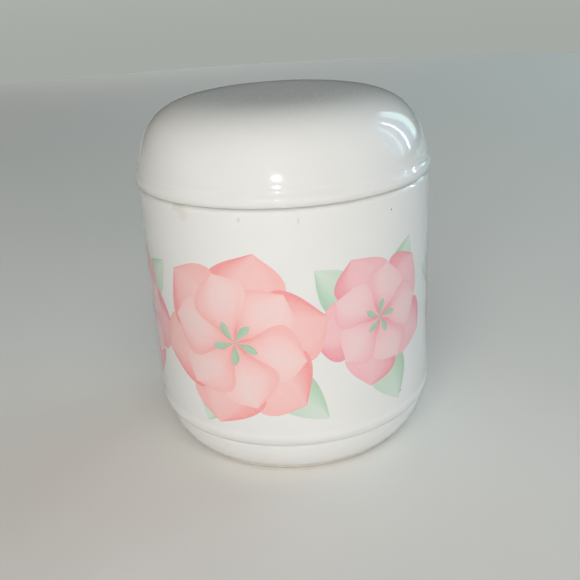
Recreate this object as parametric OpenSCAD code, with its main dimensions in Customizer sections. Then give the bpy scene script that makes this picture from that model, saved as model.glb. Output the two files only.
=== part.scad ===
// Round porcelain powder jar with a lift-off domed lid.
// Both pieces are turned round +Z. The origin is the centre of the foot, on the table.

/* [Jar wall] */
// Diameter of the wall just under the mouth
body_d = 89.7; // [88:0.1:92]
// Diameter of the wall just above the bead, a little less, so that the jar leaves its mould
low_d = 89.2; // [86:0.1:89.6]
// Height of the rim that the lid sits on
rim_z = 85.1; // [50:0.1:150]
// Thickness of the fired wall
wall = 3.3; // [3:0.1:4]
// Rounding of the shoulder outside the rim
shoulder_round = 2.2; // [0.6:0.1:2.4]
// Bevel inside the mouth
mouth_bevel = 0.5; // [0.2:0.1:0.6]

/* [Bead above the foot] */
// Diameter over the bead
bead_d = 89.7; // [89.6:0.05:91]
// Height of the middle of the bead
bead_z = 14.7; // [14:0.1:17]
// Rounding of the bead
bead_round = 3.9; // [3.4:0.1:4.4]
// Angle below level at which the bead turns into the groove
bead_under_angle = 50; // [40:1:55]
// Rounding where the bead runs out into the wall
bead_fillet = 6; // [3:0.5:12]
// Height of the bottom of the groove
groove_z = 11.1; // [10.9:0.05:11.3]
// Diameter in the groove
groove_d = 86; // [85:0.1:86.2]

/* [Foot] */
// Diameter of the foot band under the groove
band_d = 86.2; // [85.6:0.1:86.6]
// Height of the top of the foot band
band_z = 10.5; // [9.5:0.1:10.7]
// Rounding of the foot band as it turns in to the foot ring
band_round = 14; // [9:0.5:20]
// Diameter of the edge where the glaze stops
glaze_edge_d = 76.6; // [76:0.1:78]
// Diameter of the bare foot ring
foot_d = 75.4; // [72:0.1:75.8]
// Height of the bare foot ring
foot_h = 1.2; // [1:0.1:2]
// Width of the ring that stands on the table
foot_w = 3.4; // [2.4:0.1:6]
// How far the underside is raised inside the ring
foot_recess = 1.2; // [0.6:0.1:1.6]
// Height of the inside of the floor
floor_z = 4.6; // [4:0.1:7]
// Rounding inside, between the floor and the wall
inside_round = 12; // [10:0.5:14]

/* [Lid] */
// Diameter the dome's side runs out to at its lower edge
dome_d = 89.8; // [88:0.1:90.2]
// Height of the top of the lid above the rim
lid_h = 23.8; // [18:0.1:34]
// How square the dome's shoulder is towards its top: 2 is an ellipse
dome_square_top = 2.1; // [2:0.1:3.5]
// How upright the dome's side is: 2 is an ellipse
dome_square_side = 5.9; // [3.5:0.1:7]
// Thickness of the lid
lid_wall = 3.2; // [2.6:0.1:4]
// Diameter over the rolled lip
lip_d = 91; // [90.4:0.1:92]
// Height of the middle of the lip above the rim
lip_rise = 1.8; // [1.6:0.1:2.2]
// Rounding of the lip
lip_round = 3; // [2.4:0.1:3.4]
// Rounding where the lip runs out into the dome
lip_fillet = 4; // [2:0.5:6]
// Gap between the lid's seat and the rim
seat_gap = 0.2; // [0.1:0.05:0.3]

/* [Lid's locating ring] */
// Clearance between the ring and the mouth, all round
ring_clear = 0.5; // [0.3:0.1:0.8]
// How far the ring reaches down into the mouth
ring_deep = 4.7; // [3:0.1:8]
// Thickness of the ring
ring_wall = 2.6; // [2:0.1:3.2]

/* [Hidden] */
$fn = 128;
porcelain = "#F1EFE8";

// Points on an arc round c, from angle a to angle b
function arc(c, r, a, b, n) = [for (i = [0:n]) c + r * [cos(a + (b - a) * i / n), sin(a + (b - a) * i / n)]];

// Middle of the circle of radius r through p and q, on the left of the way from p to q
function circle_middle(p, q, r) =
    let (half = (q - p) / 2, d = norm(half))
    (p + q) / 2 + [-half[1], half[0]] / d * sqrt(r * r - d * d);

function angle_of(v) = atan2(v[1], v[0]);

function after_first(points) = [for (i = [1:len(points) - 1]) points[i]];

// A bead of radius r that stands out to peak_r at height z, and runs out upwards through a
// fillet of radius f into a wall at wall_r. It starts at angle a.
function bead_arcs(peak_r, z, r, f, wall_r, a) =
    let (
        middle = [peak_r - r, z],
        turn = acos((wall_r + f - middle[0]) / (r + f)),
        fillet_middle = middle + (r + f) * [cos(turn), sin(turn)]
    )
    concat(arc(middle, r, a, turn, 10), after_first(arc(fillet_middle, f, 180 + turn, 180, 6)));

// Radius of a dome of half-width w at height z, from its springing line z0 to its top z1
function dome_r(w, z0, z1, z) = w * pow(1 - pow((z - z0) / (z1 - z0), dome_square_top), 1 / dome_square_side);

// Points over a dome from height z up to its top on the axis. The last two are level with
// each other, so that the middle is flat and the axis is met squarely.
function dome_points(w, z0, z1, z, n) =
    let (start = asin(pow((z - z0) / (z1 - z0), dome_square_top / 2)))
    concat(
        [for (i = [0:n - 1]) let (t = start + (88 - start) * i / (n - 1))
            [w * pow(cos(t), 2 / dome_square_side), z0 + (z1 - z0) * pow(sin(t), 2 / dome_square_top)]],
        [[0, z1]]
    );

mouth_r = body_d / 2 - wall;
foot_in_r = foot_d / 2 - foot_w;
foot_edge = 0.4;
glaze_edge = [glaze_edge_d / 2, foot_h];
band_top = [band_d / 2, band_z];
band_middle = circle_middle(glaze_edge, band_top, band_round);

top_z = rim_z + lid_h;
seat_z = rim_z + seat_gap;
lip_z = rim_z + lip_rise;
lip_start = -asin((lip_z - seat_z) / lip_round);
// The dome springs from just below the rim, so that its side already leans in at the lip
dome_z = rim_z - 1.3;
neck_z = lip_z + 3;
neck_r = dome_r(dome_d / 2, dome_z, top_z, neck_z);
lip_outline = bead_arcs(lip_d / 2, lip_z, lip_round, lip_fillet, neck_r, lip_start);
ring_r = mouth_r - ring_clear;
ring_in_r = ring_r - ring_wall;
ring_z = rim_z - ring_deep;
ring_edge = 0.4;
inside_w = dome_d / 2 - lid_wall;
inside_top = top_z - lid_wall;
// Height at which the ring's inside has opened out to the dome's inside
open_z = lip_z + 2.6;

// The jar, cut through from the axis outwards
body_section = concat(
    [[0, foot_recess], [foot_in_r - foot_recess, foot_recess], [foot_in_r, 0]],
    [[foot_d / 2 - foot_edge, 0], [foot_d / 2, foot_edge], [foot_d / 2, foot_h]],
    arc(band_middle, band_round, angle_of(glaze_edge - band_middle), angle_of(band_top - band_middle), 10),
    [[groove_d / 2, groove_z]],
    bead_arcs(bead_d / 2, bead_z, bead_round, bead_fillet, low_d / 2, -bead_under_angle),
    arc([body_d / 2 - shoulder_round, rim_z - shoulder_round], shoulder_round, 0, 90, 6),
    [[mouth_r + mouth_bevel, rim_z], [mouth_r, rim_z - mouth_bevel]],
    arc([mouth_r - inside_round, floor_z + inside_round], inside_round, 0, -90, 12),
    [[0, floor_z]]
);

// The lid, cut through from the axis: up its outside and down its inside
lid_section = concat(
    [[ring_r, seat_z]],
    lip_outline,
    dome_points(dome_d / 2, dome_z, top_z, lip_outline[len(lip_outline) - 1][1] + 0.4, 30),
    [for (i = [24:-1:0]) dome_points(inside_w, dome_z, inside_top, open_z, 24)[i]],
    [[ring_in_r, lip_z - 0.4], [ring_in_r, ring_z + ring_edge], [ring_in_r + ring_edge, ring_z]],
    [[ring_r - ring_edge, ring_z], [ring_r, ring_z + ring_edge]]
);

// The cast pot: bare foot ring, foot band, groove, bead, straight wall and flat rim
module jar_body() {
    color(porcelain) rotate_extrude() polygon(body_section);
}

// The cast lid: locating ring, rolled lip and dome
module lid() {
    color(porcelain) rotate_extrude() polygon(lid_section);
}

jar_body();
lid();
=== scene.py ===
"""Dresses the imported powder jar: a glazed porcelain pot and its lid, with a printed band of flowers on the wall."""

import math

import bmesh
import bpy
import numpy as np
from mathutils import Matrix, Vector


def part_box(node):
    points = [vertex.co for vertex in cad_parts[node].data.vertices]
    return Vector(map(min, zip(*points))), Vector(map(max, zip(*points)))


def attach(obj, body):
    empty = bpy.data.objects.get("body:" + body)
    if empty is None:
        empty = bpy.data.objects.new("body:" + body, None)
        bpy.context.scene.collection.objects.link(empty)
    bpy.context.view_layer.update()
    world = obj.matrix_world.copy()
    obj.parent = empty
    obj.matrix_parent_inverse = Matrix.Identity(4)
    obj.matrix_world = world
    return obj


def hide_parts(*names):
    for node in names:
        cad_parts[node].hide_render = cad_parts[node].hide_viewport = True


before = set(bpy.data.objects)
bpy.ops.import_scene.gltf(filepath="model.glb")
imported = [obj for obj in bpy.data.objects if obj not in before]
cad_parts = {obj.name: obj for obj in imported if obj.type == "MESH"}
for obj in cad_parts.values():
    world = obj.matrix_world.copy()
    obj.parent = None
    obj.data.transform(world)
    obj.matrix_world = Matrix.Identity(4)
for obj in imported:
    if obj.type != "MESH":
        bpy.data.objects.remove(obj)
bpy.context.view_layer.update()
MM = 0.001


# ---- The view ----
# A hand-held camera in front of the jar and a little above it, tipped down and leaning slightly.
EYE_BACK = 256.6 * MM
EYE_UP = 147.4 * MM
TIP_DOWN = math.radians(21.95)
LEAN = math.radians(-3.39)
SENSOR = 36.0
LENS = 51.9

ahead = Vector((0, math.cos(TIP_DOWN), -math.sin(TIP_DOWN)))
level_right = Vector((1, 0, 0))
level_up = level_right.cross(ahead)
right = math.cos(LEAN) * level_right + math.sin(LEAN) * level_up
up = math.cos(LEAN) * level_up - math.sin(LEAN) * level_right
camera_data = bpy.data.cameras.new("camera")
camera_data.lens = LENS
camera_data.sensor_width = SENSOR
camera_data.clip_start = 0.01
camera = bpy.data.objects.new("camera", camera_data)
turn = Matrix((right, up, -ahead)).transposed().to_4x4()
camera.matrix_world = Matrix.Translation((0, -EYE_BACK, EYE_UP)) @ turn
bpy.context.scene.collection.objects.link(camera)
bpy.context.scene.camera = camera
bpy.context.scene.view_settings.view_transform = "Standard"


# ---- Floor and studio light ----
# A plain pale board and plain soft boxes. The ones in front, above and behind only light the glaze; the small lamp by
# the camera, the left box, the blue sky and the strips of window on the right are also reflected in it.
FLOOR_HALF = 4.0
BACKDROP_R = 1.0
BACKDROP_HIGH = 1.6
BACKDROP_SIDES = 64
# Colours of the backdrop's painted glow: the low one is painted shade, the high one paler painted light
BACKDROP_PAINTED_SHADE_HEX = "#A6AAA5"
BACKDROP_HIGH_HEX = "#CDCECB"
BACKDROP_PALE_FROM = 0.5
FLOOR_HEX = "#ECEAE5"
ROOM_HEX = "#B9BEBC"
ROOM_STRENGTH = 0.04
AIM = Vector((0, 0, 0.06))


def linear(hex_colour):
    """An sRGB hex colour as linear RGBA."""
    parts = [int(hex_colour[i:i + 2], 16) / 255 for i in (1, 3, 5)]
    return tuple(c / 12.92 if c <= 0.04045 else ((c + 0.055) / 1.055) ** 2.4 for c in parts) + (1.0,)


def add(tree, kind, inputs=(), **settings):
    """Adds a node, sets its properties, and sets or links its inputs by name or number."""
    made = tree.nodes.new(kind)
    for key, value in settings.items():
        setattr(made, key, value)
    for key, value in dict(inputs).items():
        if isinstance(value, bpy.types.NodeSocket):
            tree.links.new(value, made.inputs[key])
        else:
            made.inputs[key].default_value = value
    return made


def new_material(name):
    """A node material with only its output, and that output."""
    material = bpy.data.materials.new(name)
    material.use_nodes = True
    material.node_tree.nodes.clear()
    return material, add(material.node_tree, "ShaderNodeOutputMaterial")


def lamp(name, place, size_x, size_y, watts, hex_colour, aim=AIM, reflected=True):
    """A soft rectangular lamp at place, turned towards aim. One that isn't reflected lights a gloss surface but
    doesn't show in it."""
    data = bpy.data.lights.new(name, "AREA")
    data.shape = "RECTANGLE"
    data.size, data.size_y = size_x, size_y
    data.energy = watts
    data.color = linear(hex_colour)[:3]
    made = bpy.data.objects.new(name, data)
    made.location = place
    made.visible_camera = False
    made.visible_glossy = reflected
    made.rotation_euler = (aim - Vector(place)).to_track_quat("-Z", "Y").to_euler()
    bpy.context.scene.collection.objects.link(made)
    return made


def at_bearing(bearing, rise, distance):
    """A place seen from the lid in a compass bearing (0 in front, 90 on the right) and at an angle above level."""
    flat = distance * math.cos(math.radians(rise))
    angle = math.radians(bearing)
    return (flat * math.sin(angle), -flat * math.cos(angle), 0.09 + distance * math.sin(math.radians(rise)))


lamp("small lamp by the camera", at_bearing(-5, 12, 0.55), 0.024, 0.024, 0.36, "#FFFAF2")
lamp("front soft box", at_bearing(-8, 30, 1.6), 1.0, 0.8, 6.3, "#FFFBF3", reflected=False)
lamp("overhead soft box", at_bearing(0, 55, 1.4), 1.2, 0.7, 5.4, "#FEFDF8", reflected=False)
lamp("low front soft box", at_bearing(2, 11, 1.3), 1.2, 0.45, 4.6, "#F2F2FF", reflected=False)
lamp("left soft box", at_bearing(-75, 22, 1.5), 0.8, 0.8, 0.8, "#FBFCF6")
lamp("sky on the right", at_bearing(114, 22, 1.6), 1.3, 1.1, 5.4, "#78C2F0")
lamp("soft box behind", at_bearing(188, 10, 1.7), 1.0, 0.5, 6.5, "#F6F6F4", reflected=False)
for bearing, width, watts, tint in (
        (105, 0.08, 0.5, "#DCEBE4"), (116, 0.05, 1.4, "#F0F7EC"), (134, 0.24, 1.4, "#CDE8D6")):
    lamp(f"window strip at {bearing} degrees", at_bearing(bearing, 19, 1.3), width, 0.80, watts, tint)

world = bpy.data.worlds.new("dim room")
world.use_nodes = True
world.node_tree.nodes.clear()
background = add(world.node_tree, "ShaderNodeBackground", {"Color": linear(ROOM_HEX), "Strength": ROOM_STRENGTH})
add(world.node_tree, "ShaderNodeOutputWorld", {"Surface": background.outputs[0]})
bpy.context.scene.world = world

floor_mesh = bpy.data.meshes.new("floor")
corners = [(x * FLOOR_HALF, y * FLOOR_HALF, 0) for x, y in ((-1, -1), (1, -1), (1, 1), (-1, 1))]
floor_mesh.from_pydata(corners, [], [(0, 1, 2, 3)])
floor = bpy.data.objects.new("floor", floor_mesh)
bpy.context.scene.collection.objects.link(floor)
# Matt emulsion on board: even and pale, with a faint roller texture.
painted_board, output = new_material("matt painted board")
nodes = painted_board.node_tree
place = add(nodes, "ShaderNodeTexCoord").outputs["Object"]
roller = add(nodes, "ShaderNodeTexNoise", {"Vector": place, "Scale": 260.0, "Detail": 4.0})
ripple = add(nodes, "ShaderNodeBump", {"Height": roller.outputs["Fac"], "Strength": 0.15, "Distance": 0.2 * MM})
paint = add(nodes, "ShaderNodeBsdfPrincipled",
            {"Base Color": linear(FLOOR_HEX), "Roughness": 0.9, "Normal": ripple.outputs[0]})
nodes.links.new(paint.outputs[0], output.inputs["Surface"])
floor_mesh.materials.append(painted_board)

# A pale backdrop all round that glows with painted light, made darker towards the floor as painted shade. It is only
# looked at: it lights nothing and isn't reflected in the glaze.
backdrop_turns = [2 * math.pi * i / BACKDROP_SIDES for i in range(BACKDROP_SIDES)]
backdrop_mesh = bpy.data.meshes.new("backdrop")
backdrop_mesh.from_pydata([(BACKDROP_R * math.cos(turn_by), BACKDROP_R * math.sin(turn_by), z)
                           for z in (0, BACKDROP_HIGH) for turn_by in backdrop_turns], [],
                          [(i, i + BACKDROP_SIDES, after + BACKDROP_SIDES, after)
                           for i, after in enumerate([*range(1, BACKDROP_SIDES), 0])])
backdrop = bpy.data.objects.new("backdrop", backdrop_mesh)
bpy.context.scene.collection.objects.link(backdrop)
backdrop.visible_diffuse = backdrop.visible_glossy = backdrop.visible_shadow = False
painted_backdrop_glow, output = new_material("pale backdrop glowing with painted light and shade")
nodes = painted_backdrop_glow.node_tree
height = add(nodes, "ShaderNodeSeparateXYZ", {0: add(nodes, "ShaderNodeTexCoord").outputs["Object"]}).outputs["Z"]
# Painted shade: the glow darkens towards the floor and pales higher up
rise = add(nodes, "ShaderNodeMapRange", {0: height, 1: 0.0, 2: BACKDROP_PALE_FROM},
           interpolation_type="SMOOTHSTEP").outputs[0]
shade = add(nodes, "ShaderNodeMix", {"Factor": rise, "A": linear(BACKDROP_PAINTED_SHADE_HEX), "B": linear(BACKDROP_HIGH_HEX)},
            data_type="RGBA").outputs["Result"]
glow = add(nodes, "ShaderNodeEmission", {"Color": shade})
nodes.links.new(glow.outputs[0], output.inputs["Surface"])
backdrop_mesh.materials.append(painted_backdrop_glow)


# ---- Pot ----
# Slip-cast hard porcelain, fired with a clear gloss glaze inside and out. The foot ring and the top of the rim are
# wiped bare, because the pot stands on one and its lid is fired on the other.
POT_LOW, POT_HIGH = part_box("jar_body")
RIM_Z = POT_HIGH.z
WALL_R = 44.85 * MM
LOW_R = 44.6 * MM
WALL = 3.3 * MM
SHOULDER = 2.2 * MM
BEAD_Z = 14.7 * MM
BEAD_ROUND = 3.9 * MM
BEAD_FILLET = 6 * MM
GROOVE = (43.0 * MM, 11.1 * MM)
BAND_TOP = (43.1 * MM, 10.5 * MM)
BAND_ROUND = 14 * MM
GLAZE_EDGE = (38.3 * MM, 1.2 * MM)
FOOT_R = 37.7 * MM
FOOT_IN_R = 34.3 * MM
FOOT_EDGE = 0.4 * MM
RECESS = 1.2 * MM
POT_FLOOR = 4.6 * MM
INSIDE_ROUND = 12 * MM
TURNS = 256
# Height at which the bead has run out into the plain wall
POT_WALL_FROM = 16.9 * MM


def arc(centre, radius, start, end, steps):
    """Points on an arc, with its angles in degrees."""
    angles = np.radians(np.linspace(start, end, steps + 1))
    return [(centre[0] + radius * math.cos(a), centre[1] + radius * math.sin(a)) for a in angles]


def arc_through(low, high, radius, steps):
    """An arc of the given radius from low to high, bulging away from the axis."""
    (r0, z0), (r1, z1) = low, high
    half_r, half_z = (r1 - r0) / 2, (z1 - z0) / 2
    chord = math.hypot(half_r, half_z)
    back = math.sqrt(radius ** 2 - chord ** 2) / chord
    centre = ((r0 + r1) / 2 - half_z * back, (z0 + z1) / 2 + half_r * back)
    angles = [math.degrees(math.atan2(z - centre[1], r - centre[0])) for r, z in (low, high)]
    return arc(centre, radius, *angles, steps)


def bead(peak_r, z, radius, fillet, wall_r, start, steps=14):
    """A bead that stands out to peak_r, and runs out upwards into a wall at wall_r."""
    centre = (peak_r - radius, z)
    turn_angle = math.degrees(math.acos((wall_r + fillet - centre[0]) / (radius + fillet)))
    reach = radius + fillet
    out = (centre[0] + reach * math.cos(math.radians(turn_angle)),
           centre[1] + reach * math.sin(math.radians(turn_angle)))
    return arc(centre, radius, start, turn_angle, steps) + arc(out, fillet, 180 + turn_angle, 180, steps // 2)[1:]


def with_supports(outline, near=0.15 * MM, longest=2.5 * MM):
    """Adds points close to both ends of each long straight stretch, so that smooth shading stays flat along it."""
    points = [outline[0]]
    for (r0, z0), (r1, z1) in zip(outline[:-1], outline[1:]):
        length = math.hypot(r1 - r0, z1 - z0)
        if length > 4 * near:
            between = np.linspace(near, length - near, max(2, math.ceil(length / longest) + 1)) / length
            points += [(r0 + (r1 - r0) * t, z0 + (z1 - z0) * t) for t in between]
        points.append((r1, z1))
    return points


def turning_tree():
    """Geometry nodes that turn a section, given as a row of points, round the Z axis."""
    tree = bpy.data.node_groups.new("turned round its axis", "GeometryNodeTree")
    for name, kind in (("Section", "NodeSocketGeometry"), ("Turns", "NodeSocketInt"),
                       ("Glazed", "NodeSocketMaterial"), ("Bare", "NodeSocketMaterial")):
        tree.interface.new_socket(name, in_out="INPUT", socket_type=kind)
    tree.interface.new_socket("Turned piece", in_out="OUTPUT", socket_type="NodeSocketGeometry")
    given = add(tree, "NodeGroupInput").outputs
    count = add(tree, "GeometryNodeAttributeDomainSize", {"Geometry": given["Section"]}).outputs["Point Count"]
    columns = add(tree, "ShaderNodeMath", {0: given["Turns"], 1: 1.0}, operation="ADD").outputs[0]
    grid = add(tree, "GeometryNodeMeshGrid",
               {"Size X": 1.0, "Size Y": 1.0, "Vertices X": count, "Vertices Y": columns}).outputs["Mesh"]
    index = add(tree, "GeometryNodeInputIndex").outputs[0]
    along = add(tree, "ShaderNodeMath", {0: index, 1: columns}, operation="DIVIDE").outputs[0]
    along = add(tree, "ShaderNodeMath", {0: along}, operation="FLOOR").outputs[0]
    around = add(tree, "ShaderNodeMath", {0: index, 1: columns}, operation="MODULO").outputs[0]
    angle = add(tree, "ShaderNodeMath", {0: around, 1: given["Turns"]}, operation="DIVIDE").outputs[0]
    angle = add(tree, "ShaderNodeMath", {0: angle, 1: 2 * math.pi}, operation="MULTIPLY").outputs[0]
    place = add(tree, "GeometryNodeInputPosition").outputs[0]
    sampled = add(tree, "GeometryNodeSampleIndex", {"Geometry": given["Section"], "Index": along},
                  data_type="FLOAT_VECTOR")
    tree.links.new(place, sampled.inputs["Value"])
    spun = add(tree, "ShaderNodeVectorRotate", {"Vector": sampled.outputs["Value"], "Angle": angle},
               rotation_type="Z_AXIS").outputs[0]
    bare = add(tree, "GeometryNodeInputNamedAttribute", {"Name": "bare"}, data_type="FLOAT")
    bare_here = add(tree, "GeometryNodeSampleIndex", {"Geometry": given["Section"], "Index": along},
                    data_type="FLOAT")
    tree.links.new(bare.outputs["Attribute"], bare_here.inputs["Value"])
    marked = add(tree, "GeometryNodeStoreNamedAttribute",
                 {"Geometry": grid, "Name": "bare", "Value": bare_here.outputs["Value"]},
                 data_type="FLOAT", domain="POINT").outputs[0]
    placed = add(tree, "GeometryNodeSetPosition", {"Geometry": marked, "Position": spun}).outputs[0]
    closed = add(tree, "GeometryNodeMergeByDistance", {"Geometry": placed, "Distance": 0.001 * MM}).outputs[0]
    smooth = add(tree, "GeometryNodeSetShadeSmooth", {"Geometry": closed}).outputs[0]
    glazed = add(tree, "GeometryNodeSetMaterial", {"Geometry": smooth, "Material": given["Glazed"]}).outputs[0]
    on_mesh = add(tree, "GeometryNodeInputNamedAttribute", {"Name": "bare"}, data_type="FLOAT").outputs["Attribute"]
    chosen = add(tree, "FunctionNodeCompare", {0: on_mesh, 1: 0.99}, data_type="FLOAT",
                 operation="GREATER_THAN").outputs[0]
    finished = add(tree, "GeometryNodeSetMaterial",
                   {"Geometry": glazed, "Selection": chosen, "Material": given["Bare"]}).outputs[0]
    real = add(tree, "GeometryNodeRealizeInstances", {"Geometry": finished}).outputs[0]
    add(tree, "NodeGroupOutput", {"Turned piece": real})
    return tree


def turned(name, outline, bare_stretches, glazed, bare, tree):
    """A closed solid turned from its outline. bare_stretches are the parts of the section that stay unglazed, as
    boxes of low r, high r, low z and high z."""
    points = with_supports(outline)
    mesh = bpy.data.meshes.new(name + " section")
    mesh.from_pydata([(r, 0, z) for r, z in points], [], [])
    flags = mesh.attributes.new("bare", "FLOAT", "POINT")
    slack = 0.01 * MM
    for flag, (r, z) in zip(flags.data, points):
        flag.value = float(any(r0 - slack <= r <= r1 + slack and z0 - slack <= z <= z1 + slack
                               for r0, r1, z0, z1 in bare_stretches))
    made = bpy.data.objects.new(name, mesh)
    bpy.context.scene.collection.objects.link(made)
    modifier = made.modifiers.new("turned", "NODES")
    modifier.node_group = tree
    for item in tree.interface.items_tree:
        if item.item_type == "SOCKET" and item.in_out == "INPUT" and item.name != "Section":
            modifier[item.identifier] = {"Turns": TURNS, "Glazed": glazed, "Bare": bare}[item.name]
    return as_plain_mesh(made)


def as_plain_mesh(made):
    """Takes the evaluated shape as the object's own mesh, with its faces outwards, and removes the modifier."""
    graph = bpy.context.evaluated_depsgraph_get()
    mesh = bpy.data.meshes.new_from_object(made.evaluated_get(graph), preserve_all_data_layers=True, depsgraph=graph)
    made.modifiers.clear()
    made.data = mesh
    mesh.name = made.name
    shape = bmesh.new()
    shape.from_mesh(mesh)
    if shape.calc_volume(signed=True) < 0:
        bmesh.ops.reverse_faces(shape, faces=shape.faces)
    shape.to_mesh(mesh)
    shape.free()
    return made


def glaze_material(name, marks=(), printed=None):
    """Clear gloss glaze over white porcelain: a warm white seen through a glassy skin that pooled with very slight
    waves. marks are (u, z, half width, half height, hex colour, strength) stains, in metres round and up the wall.
    printed, if given, lays inks over the colour."""
    material, output = new_material(name)
    nodes = material.node_tree
    place = add(nodes, "ShaderNodeTexCoord").outputs["Object"]
    # Cloudiness of the body under the glaze, over a few centimetres
    cloud = add(nodes, "ShaderNodeTexNoise", {"Vector": place, "Scale": 28.0, "Detail": 2.0}).outputs["Fac"]
    colour = add(nodes, "ShaderNodeMix", {"Factor": cloud, "A": linear("#E9E9E5"), "B": linear("#F0F0EC")},
                 data_type="RGBA").outputs["Result"]
    for u, z, half_u, half_z, hex_colour, strength in marks:
        angle = u / WALL_R
        centre = (WALL_R * math.sin(angle), -WALL_R * math.cos(angle), z)
        wander = add(nodes, "ShaderNodeTexNoise", {"Vector": place, "Scale": 420.0, "Detail": 3.0}).outputs["Color"]
        offset = add(nodes, "ShaderNodeVectorMath", {0: wander, 1: (-0.5, -0.5, -0.5)}, operation="ADD").outputs[0]
        offset = add(nodes, "ShaderNodeVectorMath", {0: offset, "Scale": half_u * 0.9}, operation="SCALE").outputs[0]
        moved = add(nodes, "ShaderNodeVectorMath", {0: place, 1: offset}, operation="ADD").outputs[0]
        shifted = add(nodes, "ShaderNodeVectorMath", {0: moved, 1: centre}, operation="SUBTRACT").outputs[0]
        scaled = add(nodes, "ShaderNodeVectorMath", {0: shifted, 1: (1 / half_u, 1 / half_u, 1 / half_z)},
                     operation="MULTIPLY").outputs[0]
        far = add(nodes, "ShaderNodeVectorMath", {0: scaled}, operation="LENGTH").outputs["Value"]
        amount = add(nodes, "ShaderNodeMapRange", {0: far, 1: 0.35, 2: 1.0, 3: strength, 4: 0.0},
                     interpolation_type="SMOOTHSTEP").outputs[0]
        colour = add(nodes, "ShaderNodeMix", {"Factor": amount, "A": colour, "B": linear(hex_colour)},
                     data_type="RGBA").outputs["Result"]
    if printed:
        colour = printed(nodes, colour)
    # Pools of glaze about 15 mm across, and an orange peel of about 1.5 mm that only shows in the highlights
    pools = add(nodes, "ShaderNodeTexNoise", {"Vector": place, "Scale": 65.0, "Detail": 1.0}).outputs["Fac"]
    peel = add(nodes, "ShaderNodeTexNoise", {"Vector": place, "Scale": 650.0, "Detail": 1.0}).outputs["Fac"]
    waves = add(nodes, "ShaderNodeBump", {"Height": pools, "Strength": 1.0, "Distance": 0.05 * MM}).outputs[0]
    skin = add(nodes, "ShaderNodeBump", {"Height": peel, "Strength": 0.5, "Distance": 0.004 * MM, "Normal": waves})
    # Handling leaves the gloss a little uneven
    handled = add(nodes, "ShaderNodeTexNoise", {"Vector": place, "Scale": 90.0, "Detail": 5.0}).outputs["Fac"]
    gloss = add(nodes, "ShaderNodeMapRange", {0: handled, 1: 0.3, 2: 0.7, 3: 0.07, 4: 0.13}).outputs[0]
    glaze = add(nodes, "ShaderNodeBsdfPrincipled",
                {"Base Color": colour, "Roughness": gloss, "IOR": 1.52, "Normal": skin.outputs[0]})
    nodes.links.new(glaze.outputs[0], output.inputs["Surface"])
    return material


def bare_porcelain(name):
    """Unglazed porcelain: matt, finely sanded, and a little grey where it has picked up dirt."""
    material, output = new_material(name)
    nodes = material.node_tree
    place = add(nodes, "ShaderNodeTexCoord").outputs["Object"]
    dirt = add(nodes, "ShaderNodeTexNoise", {"Vector": place, "Scale": 240.0, "Detail": 6.0}).outputs["Fac"]
    colour = add(nodes, "ShaderNodeMix", {"Factor": dirt, "A": linear("#C6C0B4"), "B": linear("#E3DED4")},
                 data_type="RGBA").outputs["Result"]
    sand = add(nodes, "ShaderNodeTexNoise", {"Vector": place, "Scale": 2600.0, "Detail": 2.0}).outputs["Fac"]
    tooth = add(nodes, "ShaderNodeBump", {"Height": sand, "Strength": 0.6, "Distance": 0.06 * MM})
    body = add(nodes, "ShaderNodeBsdfPrincipled",
               {"Base Color": colour, "Roughness": 0.85, "IOR": 1.5, "Normal": tooth.outputs[0]})
    nodes.links.new(body.outputs[0], output.inputs["Surface"])
    return material


pot_marks = [
    (-32.8 * MM, 84.2 * MM, 3.6 * MM, 2.0 * MM, "#CDC09C", 0.26),
    (-30.6 * MM, 82.0 * MM, 2.4 * MM, 2.2 * MM, "#D3C7A6", 0.22),
    (-12.9 * MM, 82.2 * MM, 0.7 * MM, 1.0 * MM, "#B9B8B2", 0.32),
    (3.2 * MM, 81.6 * MM, 0.5 * MM, 1.1 * MM, "#BDBAB8", 0.28),
    (35.7 * MM, 21.5 * MM, 0.55 * MM, 0.75 * MM, "#5C5A55", 1.0),
    (32.1 * MM, 79.9 * MM, 0.35 * MM, 0.4 * MM, "#77808A", 1.0),
]
pot_glaze = glaze_material("clear gloss glaze on white porcelain, with stains", pot_marks)
bare = bare_porcelain("bare fired porcelain")
turning = turning_tree()

MOUTH_R = WALL_R - WALL
pot_outline = (
    [(0, RECESS), (FOOT_IN_R - RECESS, RECESS)]
    + [(FOOT_IN_R - 0.15 * MM, 0.12 * MM), (FOOT_IN_R, 0)]
    + arc((FOOT_R - FOOT_EDGE, FOOT_EDGE), FOOT_EDGE, -90, 0, 6)
    + [(FOOT_R, GLAZE_EDGE[1]), (GLAZE_EDGE[0] - 0.1 * MM, GLAZE_EDGE[1])]
    + arc_through(GLAZE_EDGE, BAND_TOP, BAND_ROUND, 22)
    + [(GROOVE[0] + 0.02 * MM, GROOVE[1] - 0.2 * MM), GROOVE, (GROOVE[0] + 0.14 * MM, GROOVE[1] + 0.22 * MM)]
    + bead(WALL_R, BEAD_Z, BEAD_ROUND, BEAD_FILLET, LOW_R, -50)
    + arc((WALL_R - SHOULDER, RIM_Z - SHOULDER), SHOULDER, 0, 90, 14)
    + arc((MOUTH_R + 0.5 * MM, RIM_Z - 0.5 * MM), 0.5 * MM, 90, 180, 6)
    + arc((MOUTH_R - INSIDE_ROUND, POT_FLOOR + INSIDE_ROUND), INSIDE_ROUND, 0, -90, 24)
    + [(0, POT_FLOOR)]
)
pot_bare = [
    (FOOT_IN_R, FOOT_R, 0, GLAZE_EDGE[1]),
    (MOUTH_R + 0.3 * MM, WALL_R - SHOULDER * 0.9, RIM_Z - 0.1 * MM, RIM_Z),
]
pot = turned("pot", pot_outline, pot_bare, pot_glaze, bare, turning)
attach(pot, "jar")
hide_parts("jar_body")


# ---- Flower transfer ----
# A band of plain open flowers in coral, rose and green enamels, screen printed flat on a transfer sheet. The sheet
# was slid on to the glazed wall, two repeats going once round, and fired until the enamels took the gloss.
PRINT_R = 44.7 * MM
REPEATS = 2
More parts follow.
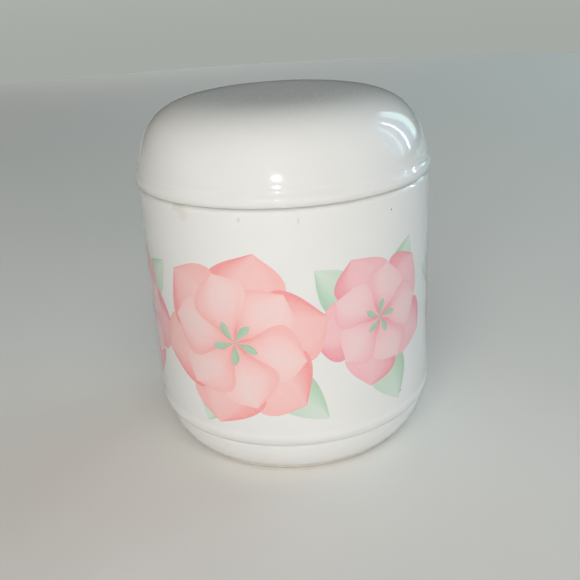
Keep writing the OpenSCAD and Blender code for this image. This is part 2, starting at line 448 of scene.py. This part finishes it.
# The print is drawn in mm: how far a petal stands out of the wall and is sunk in it, what each layer adds to both,
# and the size of its mesh's cells
LIFT = 0.015
SUNK = 0.03
LAYER = 0.005
CELL = 1.0
# Shares of a petal's width and length over which its edges and ends are shaded, and how much its veins vary the ink
RIM_SHARE = 0.26
END_SHARE = 0.34
VEIN_DEPTH = 0.10
# Widest place of a petal, a leaf and a stamen: 1 is the middle, and more is nearer the tip
PETAL_FULLNESS = 1.55
LEAF_FULLNESS = 1.1
STAMEN_FULLNESS = 1.8
# The front ring's size and ink against the back ring's; the stamens' length and width against the back petals' length
FRONT_SIZE = 0.76
FRONT_INK = 0.62
STAMENS = 5
STAMEN_LONG = 0.26
STAMEN_WIDE = 0.09
STAMEN_TURN = 24
STAMEN_BEND = 0.15
STAMEN_GREEN = (0.60, 0.2, 0.0, 0.2, 0.0)
LEAF_GREEN = (0.30, 0.3, 0.05, 0.25, -0.12)
INKS = {"coral": 0, "rose": 1, "green": 2}
streaks = np.random.default_rng(7)
plate_points, plate_faces, plate_inks, laid = [], [], [], []


def smooth_line(points, count):
    """Evenly spaced points along a smooth curve through the given ones."""
    given = np.array(points, float)
    ends = np.vstack([2 * given[0] - given[1], given, 2 * given[-1] - given[-2]])
    t = np.linspace(0, 1, 13)[:-1, None]
    dense = [((2 * b) + (c - a) * t + (2 * a - 5 * b + 4 * c - d) * t ** 2 + (3 * b - a - 3 * c + d) * t ** 3) / 2
             for a, b, c, d in zip(ends[:-3], ends[1:-2], ends[2:-1], ends[3:])]
    dense = np.vstack(dense + [given[-1:]])
    length = np.concatenate([[0], np.cumsum(np.linalg.norm(np.diff(dense, axis=0), axis=1))])
    at = np.linspace(0, length[-1], count)
    return np.column_stack([np.interp(at, length, dense[:, k]) for k in (0, 1)])


def overlap(spots, others):
    """Whether two petals lie over each other, or close beside each other."""
    if not ((spots.min(0) < others.max(0) + CELL).all() and (others.min(0) < spots.max(0) + CELL).all()):
        return False
    gaps = np.linalg.norm(spots[:, None] - others[None], axis=2)
    return gaps.min() < CELL


def petal(one_edge, other_edge, **inks):
    """Adds one flat petal in mm, between two edges that run from its base to its tip, over those before it. Each ink
    has its depth in the middle, and what is added along the first edge, along the other edge, at the base and at the
    tip, from 0 for none to 1 for the full colour."""
    longest = max(np.linalg.norm(np.diff(np.array(edge, float), axis=0), axis=1).sum()
                  for edge in (one_edge, other_edge))
    rows = max(10, math.ceil(longest / CELL)) + 1
    one, other = smooth_line(one_edge, rows), smooth_line(other_edge, rows)
    columns = max(6, math.ceil(np.linalg.norm(one - other, axis=1).max() / CELL)) + 1
    t, s = np.meshgrid(np.linspace(0, 1, rows), np.linspace(0, 1, columns), indexing="ij")
    flat = one[:, None] * (1 - s[..., None]) + other[:, None] * s[..., None]
    vein_phase = streaks.uniform(0, 2 * math.pi, 3)
    veins = sum(np.sin(2 * math.pi * k * s + phase) for k, phase in zip((2, 3, 5), vein_phase)) / 3
    depths = np.zeros((rows, columns, 3))
    for ink, (middle, first, second, base, tip) in inks.items():
        amount = (middle + first * np.exp(-(s / RIM_SHARE) ** 2) + second * np.exp(-((1 - s) / RIM_SHARE) ** 2)
                  + base * np.exp(-(t / END_SHARE) ** 2) + tip * np.exp(-((1 - t) / END_SHARE) ** 2))
        depths[..., INKS[ink]] = np.clip(amount * (1 + VEIN_DEPTH * veins * np.sin(math.pi * t)), 0, 1)
    spots = flat.reshape(-1, 2)
    under = [layer for other, layer in laid if overlap(spots, other)]
    layer = max(under, default=-1) + 1
    laid.append((spots, layer))
    start = sum(len(block) for block in plate_points)
    for height in (LIFT + LAYER * layer, -SUNK - LAYER * layer):
        plate_points.append(np.dstack([flat[..., 0], np.full_like(t, height), flat[..., 1]]).reshape(-1, 3))
        plate_inks.append(depths.reshape(-1, 3))
    size = rows * columns
    index = np.arange(size).reshape(rows, columns)
    corners = [index[:-1, :-1], index[1:, :-1], index[1:, 1:], index[:-1, 1:]]
    front = np.vstack([np.stack([corners[k] for k in half], -1).reshape(-1, 3) for half in ((0, 1, 2), (0, 2, 3))])
    ring = np.concatenate([index[0, :-1], index[:-1, -1], index[-1, :0:-1], index[:0:-1, 0]])
    after = np.roll(ring, -1)
    walls = np.vstack([np.stack([ring, after, after + size], -1), np.stack([ring, after + size, ring + size], -1)])
    made = np.vstack([front, front[:, ::-1] + size, walls]) + start
    outline = np.vstack([one, other[::-1]])
    area = np.cross(outline, np.roll(outline, -1, axis=0)).sum() / 2
    plate_faces.append(made if area > 0 else made[:, ::-1])


def leaf_edges(base, bearing, length, width, bend, fullness):
    """The two edges of a plain leaf or petal in mm. bearing is its direction in degrees clockwise from upwards, bend
    leans its tip to one side, and a fullness over 1 puts its widest place nearer the tip."""
    s = np.linspace(0, 1, 7)
    half = width / 2 * np.sin(np.pi * s ** fullness)
    side = bend * length * s ** 2
    sin, cos = math.sin(math.radians(bearing)), math.cos(math.radians(bearing))
    return [[(base[0] + x * cos + y * sin, base[1] - x * sin + y * cos) for x, y in zip(side + offset, length * s)]
            for offset in (-half, half)]


def bloom(centre, length, width, count, bearing, bend, **inks):
    """An open flower of two rings of equal petals, the front ring shorter, paler and set between the back ones, with
    a ring of stamens over them."""
    for size, offset, strength in ((1.0, 0.0, 1.0), (FRONT_SIZE, 0.5, FRONT_INK)):
        for k in range(count):
            petal(*leaf_edges(centre, bearing + 360 * (k + offset) / count, length * size, width * size, bend,
                              PETAL_FULLNESS),
                  **{ink: tuple(strength * depth for depth in depths) for ink, depths in inks.items()})
    for k in range(STAMENS):
        petal(*leaf_edges(centre, bearing + STAMEN_TURN + 360 * k / STAMENS, length * STAMEN_LONG,
                          length * STAMEN_WIDE, STAMEN_BEND, STAMEN_FULLNESS),
              green=STAMEN_GREEN)


# Leaves first, each as (base, bearing, length, width, bend)
for base, bearing, length, width, bend in (
        ((24, 50), -52, 24, 13, 0.12), ((26, 46), 168, 28, 15, -0.10), ((30, 50), 22, 23, 11, 0.10),
        ((-14, 42), 128, 32, 14, 0.08), ((-20, 40), 206, 24, 13, -0.08), ((-62, 46), 38, 28, 12, 0.10),
        ((-66, 42), 196, 25, 13, 0.10), ((-66, 48), -64, 26, 12, -0.10)):
    petal(*leaf_edges(base, bearing, length, width, bend, LEAF_FULLNESS), green=LEAF_GREEN)

# Over them a dusky rose flower, a pale rose one and a large coral one
bloom((-64, 45), 23, 20, 5, 12, 0.10, rose=(0.40, 0.40, 0.15, 0.45, 0.15))
bloom((27, 49), 21.5, 19, 5, -20, -0.10, rose=(0.30, 0.40, 0.10, 0.45, 0.10))
bloom((-17, 45.5), 28, 24, 6, 8, 0.12, coral=(0.26, 0.40, 0.12, 0.50, 0.10))


def wrapping_tree():
    """Geometry nodes that wrap a flat print, x along and z up, on to the wall and repeat it evenly round the axis."""
    tree = bpy.data.node_groups.new("wrapped on the wall", "GeometryNodeTree")
    for name, kind in (("Flat print", "NodeSocketGeometry"), ("Print radius", "NodeSocketFloat"),
                       ("Wall radius low", "NodeSocketFloat"), ("Wall radius high", "NodeSocketFloat"),
                       ("Low height", "NodeSocketFloat"), ("High height", "NodeSocketFloat"),
                       ("Repeats", "NodeSocketInt"), ("Enamel", "NodeSocketMaterial")):
        tree.interface.new_socket(name, in_out="INPUT", socket_type=kind)
    tree.interface.new_socket("Wrapped print", in_out="OUTPUT", socket_type="NodeSocketGeometry")
    given = add(tree, "NodeGroupInput").outputs
    flat = add(tree, "ShaderNodeSeparateXYZ", {0: add(tree, "GeometryNodeInputPosition").outputs[0]}).outputs
    angle = add(tree, "ShaderNodeMath", {0: flat["X"], 1: given["Print radius"]}, operation="DIVIDE").outputs[0]
    wall = add(tree, "ShaderNodeMapRange", {0: flat["Z"], 1: given["Low height"], 2: given["High height"],
                                            3: given["Wall radius low"], 4: given["Wall radius high"]}).outputs[0]
    reach = add(tree, "ShaderNodeMath", {0: wall, 1: flat["Y"]}, operation="ADD").outputs[0]
    out = add(tree, "ShaderNodeMath", {0: reach, 1: -1.0}, operation="MULTIPLY").outputs[0]
    front = add(tree, "ShaderNodeCombineXYZ", {"Y": out, "Z": flat["Z"]}).outputs[0]
    round_wall = add(tree, "ShaderNodeVectorRotate", {"Vector": front, "Angle": angle},
                     rotation_type="Z_AXIS").outputs[0]
    wrapped = add(tree, "GeometryNodeSetPosition",
                  {"Geometry": given["Flat print"], "Position": round_wall}).outputs[0]
    seats = add(tree, "GeometryNodeMeshLine", {"Count": given["Repeats"], "Offset": (0, 0, 0)}).outputs[0]
    number = add(tree, "GeometryNodeInputIndex").outputs[0]
    share = add(tree, "ShaderNodeMath", {0: number, 1: given["Repeats"]}, operation="DIVIDE").outputs[0]
    turn_by = add(tree, "ShaderNodeMath", {0: share, 1: 2 * math.pi}, operation="MULTIPLY").outputs[0]
    spin = add(tree, "ShaderNodeCombineXYZ", {"Z": turn_by}).outputs[0]
    repeated = add(tree, "GeometryNodeInstanceOnPoints",
                   {"Points": seats, "Instance": wrapped, "Rotation": spin}).outputs[0]
    real = add(tree, "GeometryNodeRealizeInstances", {"Geometry": repeated}).outputs[0]
    smooth = add(tree, "GeometryNodeSetShadeSmooth", {"Geometry": real}).outputs[0]
    enamelled = add(tree, "GeometryNodeSetMaterial", {"Geometry": smooth, "Material": given["Enamel"]}).outputs[0]
    add(tree, "NodeGroupOutput", {"Wrapped print": enamelled})
    return tree


def printed_inks(nodes, colour):
    """Lays the three enamels over the glaze colour. Each lets less light through where it is printed deeper, and
    the screen leaves a fine grain, drawn about three times coarser than real so that it shows."""
    depths = add(nodes, "ShaderNodeAttribute", attribute_name="inks", attribute_type="GEOMETRY").outputs["Vector"]
    place = add(nodes, "ShaderNodeTexCoord").outputs["Object"]
    dots = add(nodes, "ShaderNodeTexNoise", {"Vector": place, "Scale": 2400.0, "Detail": 2.0}).outputs["Fac"]
    grain = add(nodes, "ShaderNodeMapRange", {0: dots, 1: 0.3, 2: 0.7, 3: 0.9, 4: 1.1}).outputs[0]
    grained = add(nodes, "ShaderNodeVectorMath", {0: depths, "Scale": grain}, operation="SCALE").outputs[0]
    each = add(nodes, "ShaderNodeSeparateXYZ", {0: grained}).outputs
    # The ground under both pinks is a little warmer than the bare glaze
    pink = add(nodes, "ShaderNodeMath", {0: each["X"], 1: each["Y"]}, operation="ADD").outputs[0]
    warmed = add(nodes, "ShaderNodeMath", {0: pink, 1: 4.0}, operation="MULTIPLY", use_clamp=True).outputs[0]
    colour = add(nodes, "ShaderNodeMix", {"Factor": warmed, "A": colour, "B": linear("#FAE9E5")},
                 data_type="RGBA").outputs["Result"]
    stops = {"X": ("#FFFFFF", "#FFF4F4", "#FFD6D5", "#FC8E92"),
             "Y": ("#FFFFFF", "#FFF4F6", "#FED8E0", "#F696A6"),
             "Z": ("#FFFFFF", "#F3FCF5", "#D3EED9", "#A3CFB0")}
    for axis, hexes in stops.items():
        ramp = add(nodes, "ShaderNodeValToRGB", {"Fac": each[axis]})
        while len(ramp.color_ramp.elements) < 4:
            ramp.color_ramp.elements.new(0.5)
        for stop, where, hex_colour in zip(ramp.color_ramp.elements, (0.0, 0.12, 0.4, 1.0), hexes):
            stop.position = where
            stop.color = linear(hex_colour)
        colour = add(nodes, "ShaderNodeMix", {"Factor": 1.0, "A": colour, "B": ramp.outputs["Color"]},
                     data_type="RGBA", blend_type="MULTIPLY").outputs["Result"]
    return colour


enamel = glaze_material("on-glaze enamel transfer print", printed=printed_inks)
flat_mesh = bpy.data.meshes.new("flat print")
flat_mesh.from_pydata(np.vstack(plate_points) * MM, [], np.vstack(plate_faces).tolist())
layer_inks = flat_mesh.attributes.new("inks", "FLOAT_VECTOR", "POINT")
layer_inks.data.foreach_set("vector", np.vstack(plate_inks).ravel())
shape = bmesh.new()
shape.from_mesh(flat_mesh)
bmesh.ops.remove_doubles(shape, verts=shape.verts, dist=0.0008 * MM)
shape.to_mesh(flat_mesh)
shape.free()
transfer = bpy.data.objects.new("flower_transfer", flat_mesh)
bpy.context.scene.collection.objects.link(transfer)
wrap = transfer.modifiers.new("wrapped", "NODES")
wrap.node_group = wrapping_tree()
wrap_values = {"Print radius": PRINT_R, "Wall radius low": LOW_R, "Wall radius high": WALL_R,
               "Low height": POT_WALL_FROM, "High height": RIM_Z - SHOULDER, "Repeats": REPEATS, "Enamel": enamel}
for item in wrap.node_group.interface.items_tree:
    if item.item_type == "SOCKET" and item.name in wrap_values:
        wrap[item.identifier] = wrap_values[item.name]
as_plain_mesh(transfer)
lean_in = (WALL_R - LOW_R) / (RIM_Z - SHOULDER - POT_WALL_FROM)
places = np.empty(len(transfer.data.vertices) * 3)
transfer.data.vertices.foreach_get("co", places)
places = places.reshape(-1, 3)
facing = np.column_stack([places[:, :2] / np.linalg.norm(places[:, :2], axis=1)[:, None],
                          np.full(len(places), -lean_in)])
transfer.data.normals_split_custom_set_from_vertices(facing / np.linalg.norm(facing, axis=1)[:, None])
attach(transfer, "jar")


# ---- Lid ----
# Slip-cast like the pot, with a rolled lip over the rim and a ring inside that keeps it in the mouth. The seat and
# the ring's edge are bare, where the lid stood on the pot in the kiln.
LID_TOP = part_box("lid")[1].z
LIP_R = 45.5 * MM
LIP_Z = RIM_Z + 1.8 * MM
LIP_ROUND = 3 * MM
LIP_FILLET = 4 * MM
SEAT_Z = RIM_Z + 0.2 * MM
DOME_R = 44.9 * MM
DOME_Z = RIM_Z - 1.3 * MM
DOME_SQUARE_TOP = 2.1
DOME_SQUARE_SIDE = 5.9
LID_WALL = 3.2 * MM
RING_R = MOUTH_R - 0.5 * MM
RING_IN_R = RING_R - 2.6 * MM
RING_Z = RIM_Z - 4.7 * MM
RING_EDGE = 0.4 * MM
DUST_LUMPS_PER_M = 800.0
DUST_HIGH = 0.16 * MM
DUST_HEX = "#F6F4EE"
# Depths below the top of the lid between which the dust thins out
DUST_FULL = 2 * MM
DUST_NONE = 6.5 * MM


def dome(half_width, top, from_z, steps):
    """Points over a squarish dome, from a height on its side up to its middle."""
    start = math.asin(((from_z - DOME_Z) / (top - DOME_Z)) ** (DOME_SQUARE_TOP / 2))
    end = math.radians(89.2)
    points = []
    for angle in np.linspace(start, end, steps):
        points.append((half_width * math.cos(angle) ** (2 / DOME_SQUARE_SIDE),
                       DOME_Z + (top - DOME_Z) * math.sin(angle) ** (2 / DOME_SQUARE_TOP)))
    return points + [(0, top)]


neck_z = LIP_Z + 3 * MM
neck_r = DOME_R * (1 - ((neck_z - DOME_Z) / (LID_TOP - DOME_Z)) ** DOME_SQUARE_TOP) ** (1 / DOME_SQUARE_SIDE)
lip_start = -math.degrees(math.asin((LIP_Z - SEAT_Z) / LIP_ROUND))
lip = bead(LIP_R, LIP_Z, LIP_ROUND, LIP_FILLET, neck_r, lip_start)
inner_dome = dome(DOME_R - LID_WALL, LID_TOP - LID_WALL, LIP_Z + 2.6 * MM, 48)
lid_outline = (
    [(RING_R, SEAT_Z), (lip[0][0] - 0.3 * MM, SEAT_Z)]
    + lip
    + dome(DOME_R, LID_TOP, lip[-1][1] + 0.4 * MM, 72)
    + inner_dome[::-1]
    + [(RING_IN_R, LIP_Z - 0.4 * MM)]
    + arc((RING_IN_R + RING_EDGE, RING_Z + RING_EDGE), RING_EDGE, 180, 270, 6)
    + arc((RING_R - RING_EDGE, RING_Z + RING_EDGE), RING_EDGE, -90, 0, 6)
    + [(RING_R, SEAT_Z)]
)
lid_bare = [
    (RING_R + 0.3 * MM, lip[0][0] - 0.3 * MM, SEAT_Z, SEAT_Z),
    (RING_IN_R + RING_EDGE * 0.5, RING_R - RING_EDGE * 0.5, RING_Z, RING_Z + 0.05 * MM),
]


def settle_dust(material):
    """Dust that has settled on the crown: matt pale lumps about 0.3 mm across, thicker in some places than others.
    Each one stands up from the gloss, so the side of it that faces a lamp shows as a bright speck."""
    nodes = material.node_tree
    glaze = nodes.nodes["Principled BSDF"]
    place = add(nodes, "ShaderNodeTexCoord").outputs["Object"]
    height = add(nodes, "ShaderNodeSeparateXYZ", {0: place}).outputs["Z"]
    on_crown = add(nodes, "ShaderNodeMapRange",
                   {0: height, 1: LID_TOP - DUST_NONE, 2: LID_TOP - DUST_FULL}).outputs[0]
    drifts = add(nodes, "ShaderNodeTexNoise", {"Vector": place, "Scale": 45.0, "Detail": 1.0}).outputs["Fac"]
    thick = add(nodes, "ShaderNodeMapRange", {0: drifts, 1: 0.42, 2: 0.6}).outputs[0]
    near = add(nodes, "ShaderNodeTexVoronoi", {"Vector": place, "Scale": DUST_LUMPS_PER_M}).outputs["Distance"]
    lump = add(nodes, "ShaderNodeMapRange", {0: near, 1: 0.05, 2: 0.20, 3: 1.0, 4: 0.0},
               interpolation_type="SMOOTHSTEP").outputs[0]
    here = add(nodes, "ShaderNodeMath", {0: on_crown, 1: thick}, operation="MULTIPLY").outputs[0]
    dust = add(nodes, "ShaderNodeMath", {0: lump, 1: here}, operation="MULTIPLY").outputs[0]
    clean = glaze.inputs["Base Color"].links[0].from_socket
    colour = add(nodes, "ShaderNodeMix", {"Factor": dust, "A": clean, "B": linear(DUST_HEX)},
                 data_type="RGBA").outputs["Result"]
    gloss = glaze.inputs["Roughness"].links[0].from_socket
    matt = add(nodes, "ShaderNodeMix", {"Factor": dust, "A": gloss, "B": 0.9}, data_type="FLOAT").outputs["Result"]
    skin = glaze.inputs["Normal"].links[0].from_socket
    raised = add(nodes, "ShaderNodeBump", {"Height": dust, "Strength": 1.0, "Distance": DUST_HIGH, "Normal": skin})
    nodes.links.new(colour, glaze.inputs["Base Color"])
    nodes.links.new(matt, glaze.inputs["Roughness"])
    nodes.links.new(raised.outputs[0], glaze.inputs["Normal"])


lid_glaze = glaze_material("clear gloss glaze on white porcelain, with dust")
settle_dust(lid_glaze)
lid = turned("lid_dome", lid_outline, lid_bare, lid_glaze, bare, turning)
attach(lid, "lid")
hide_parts("lid")
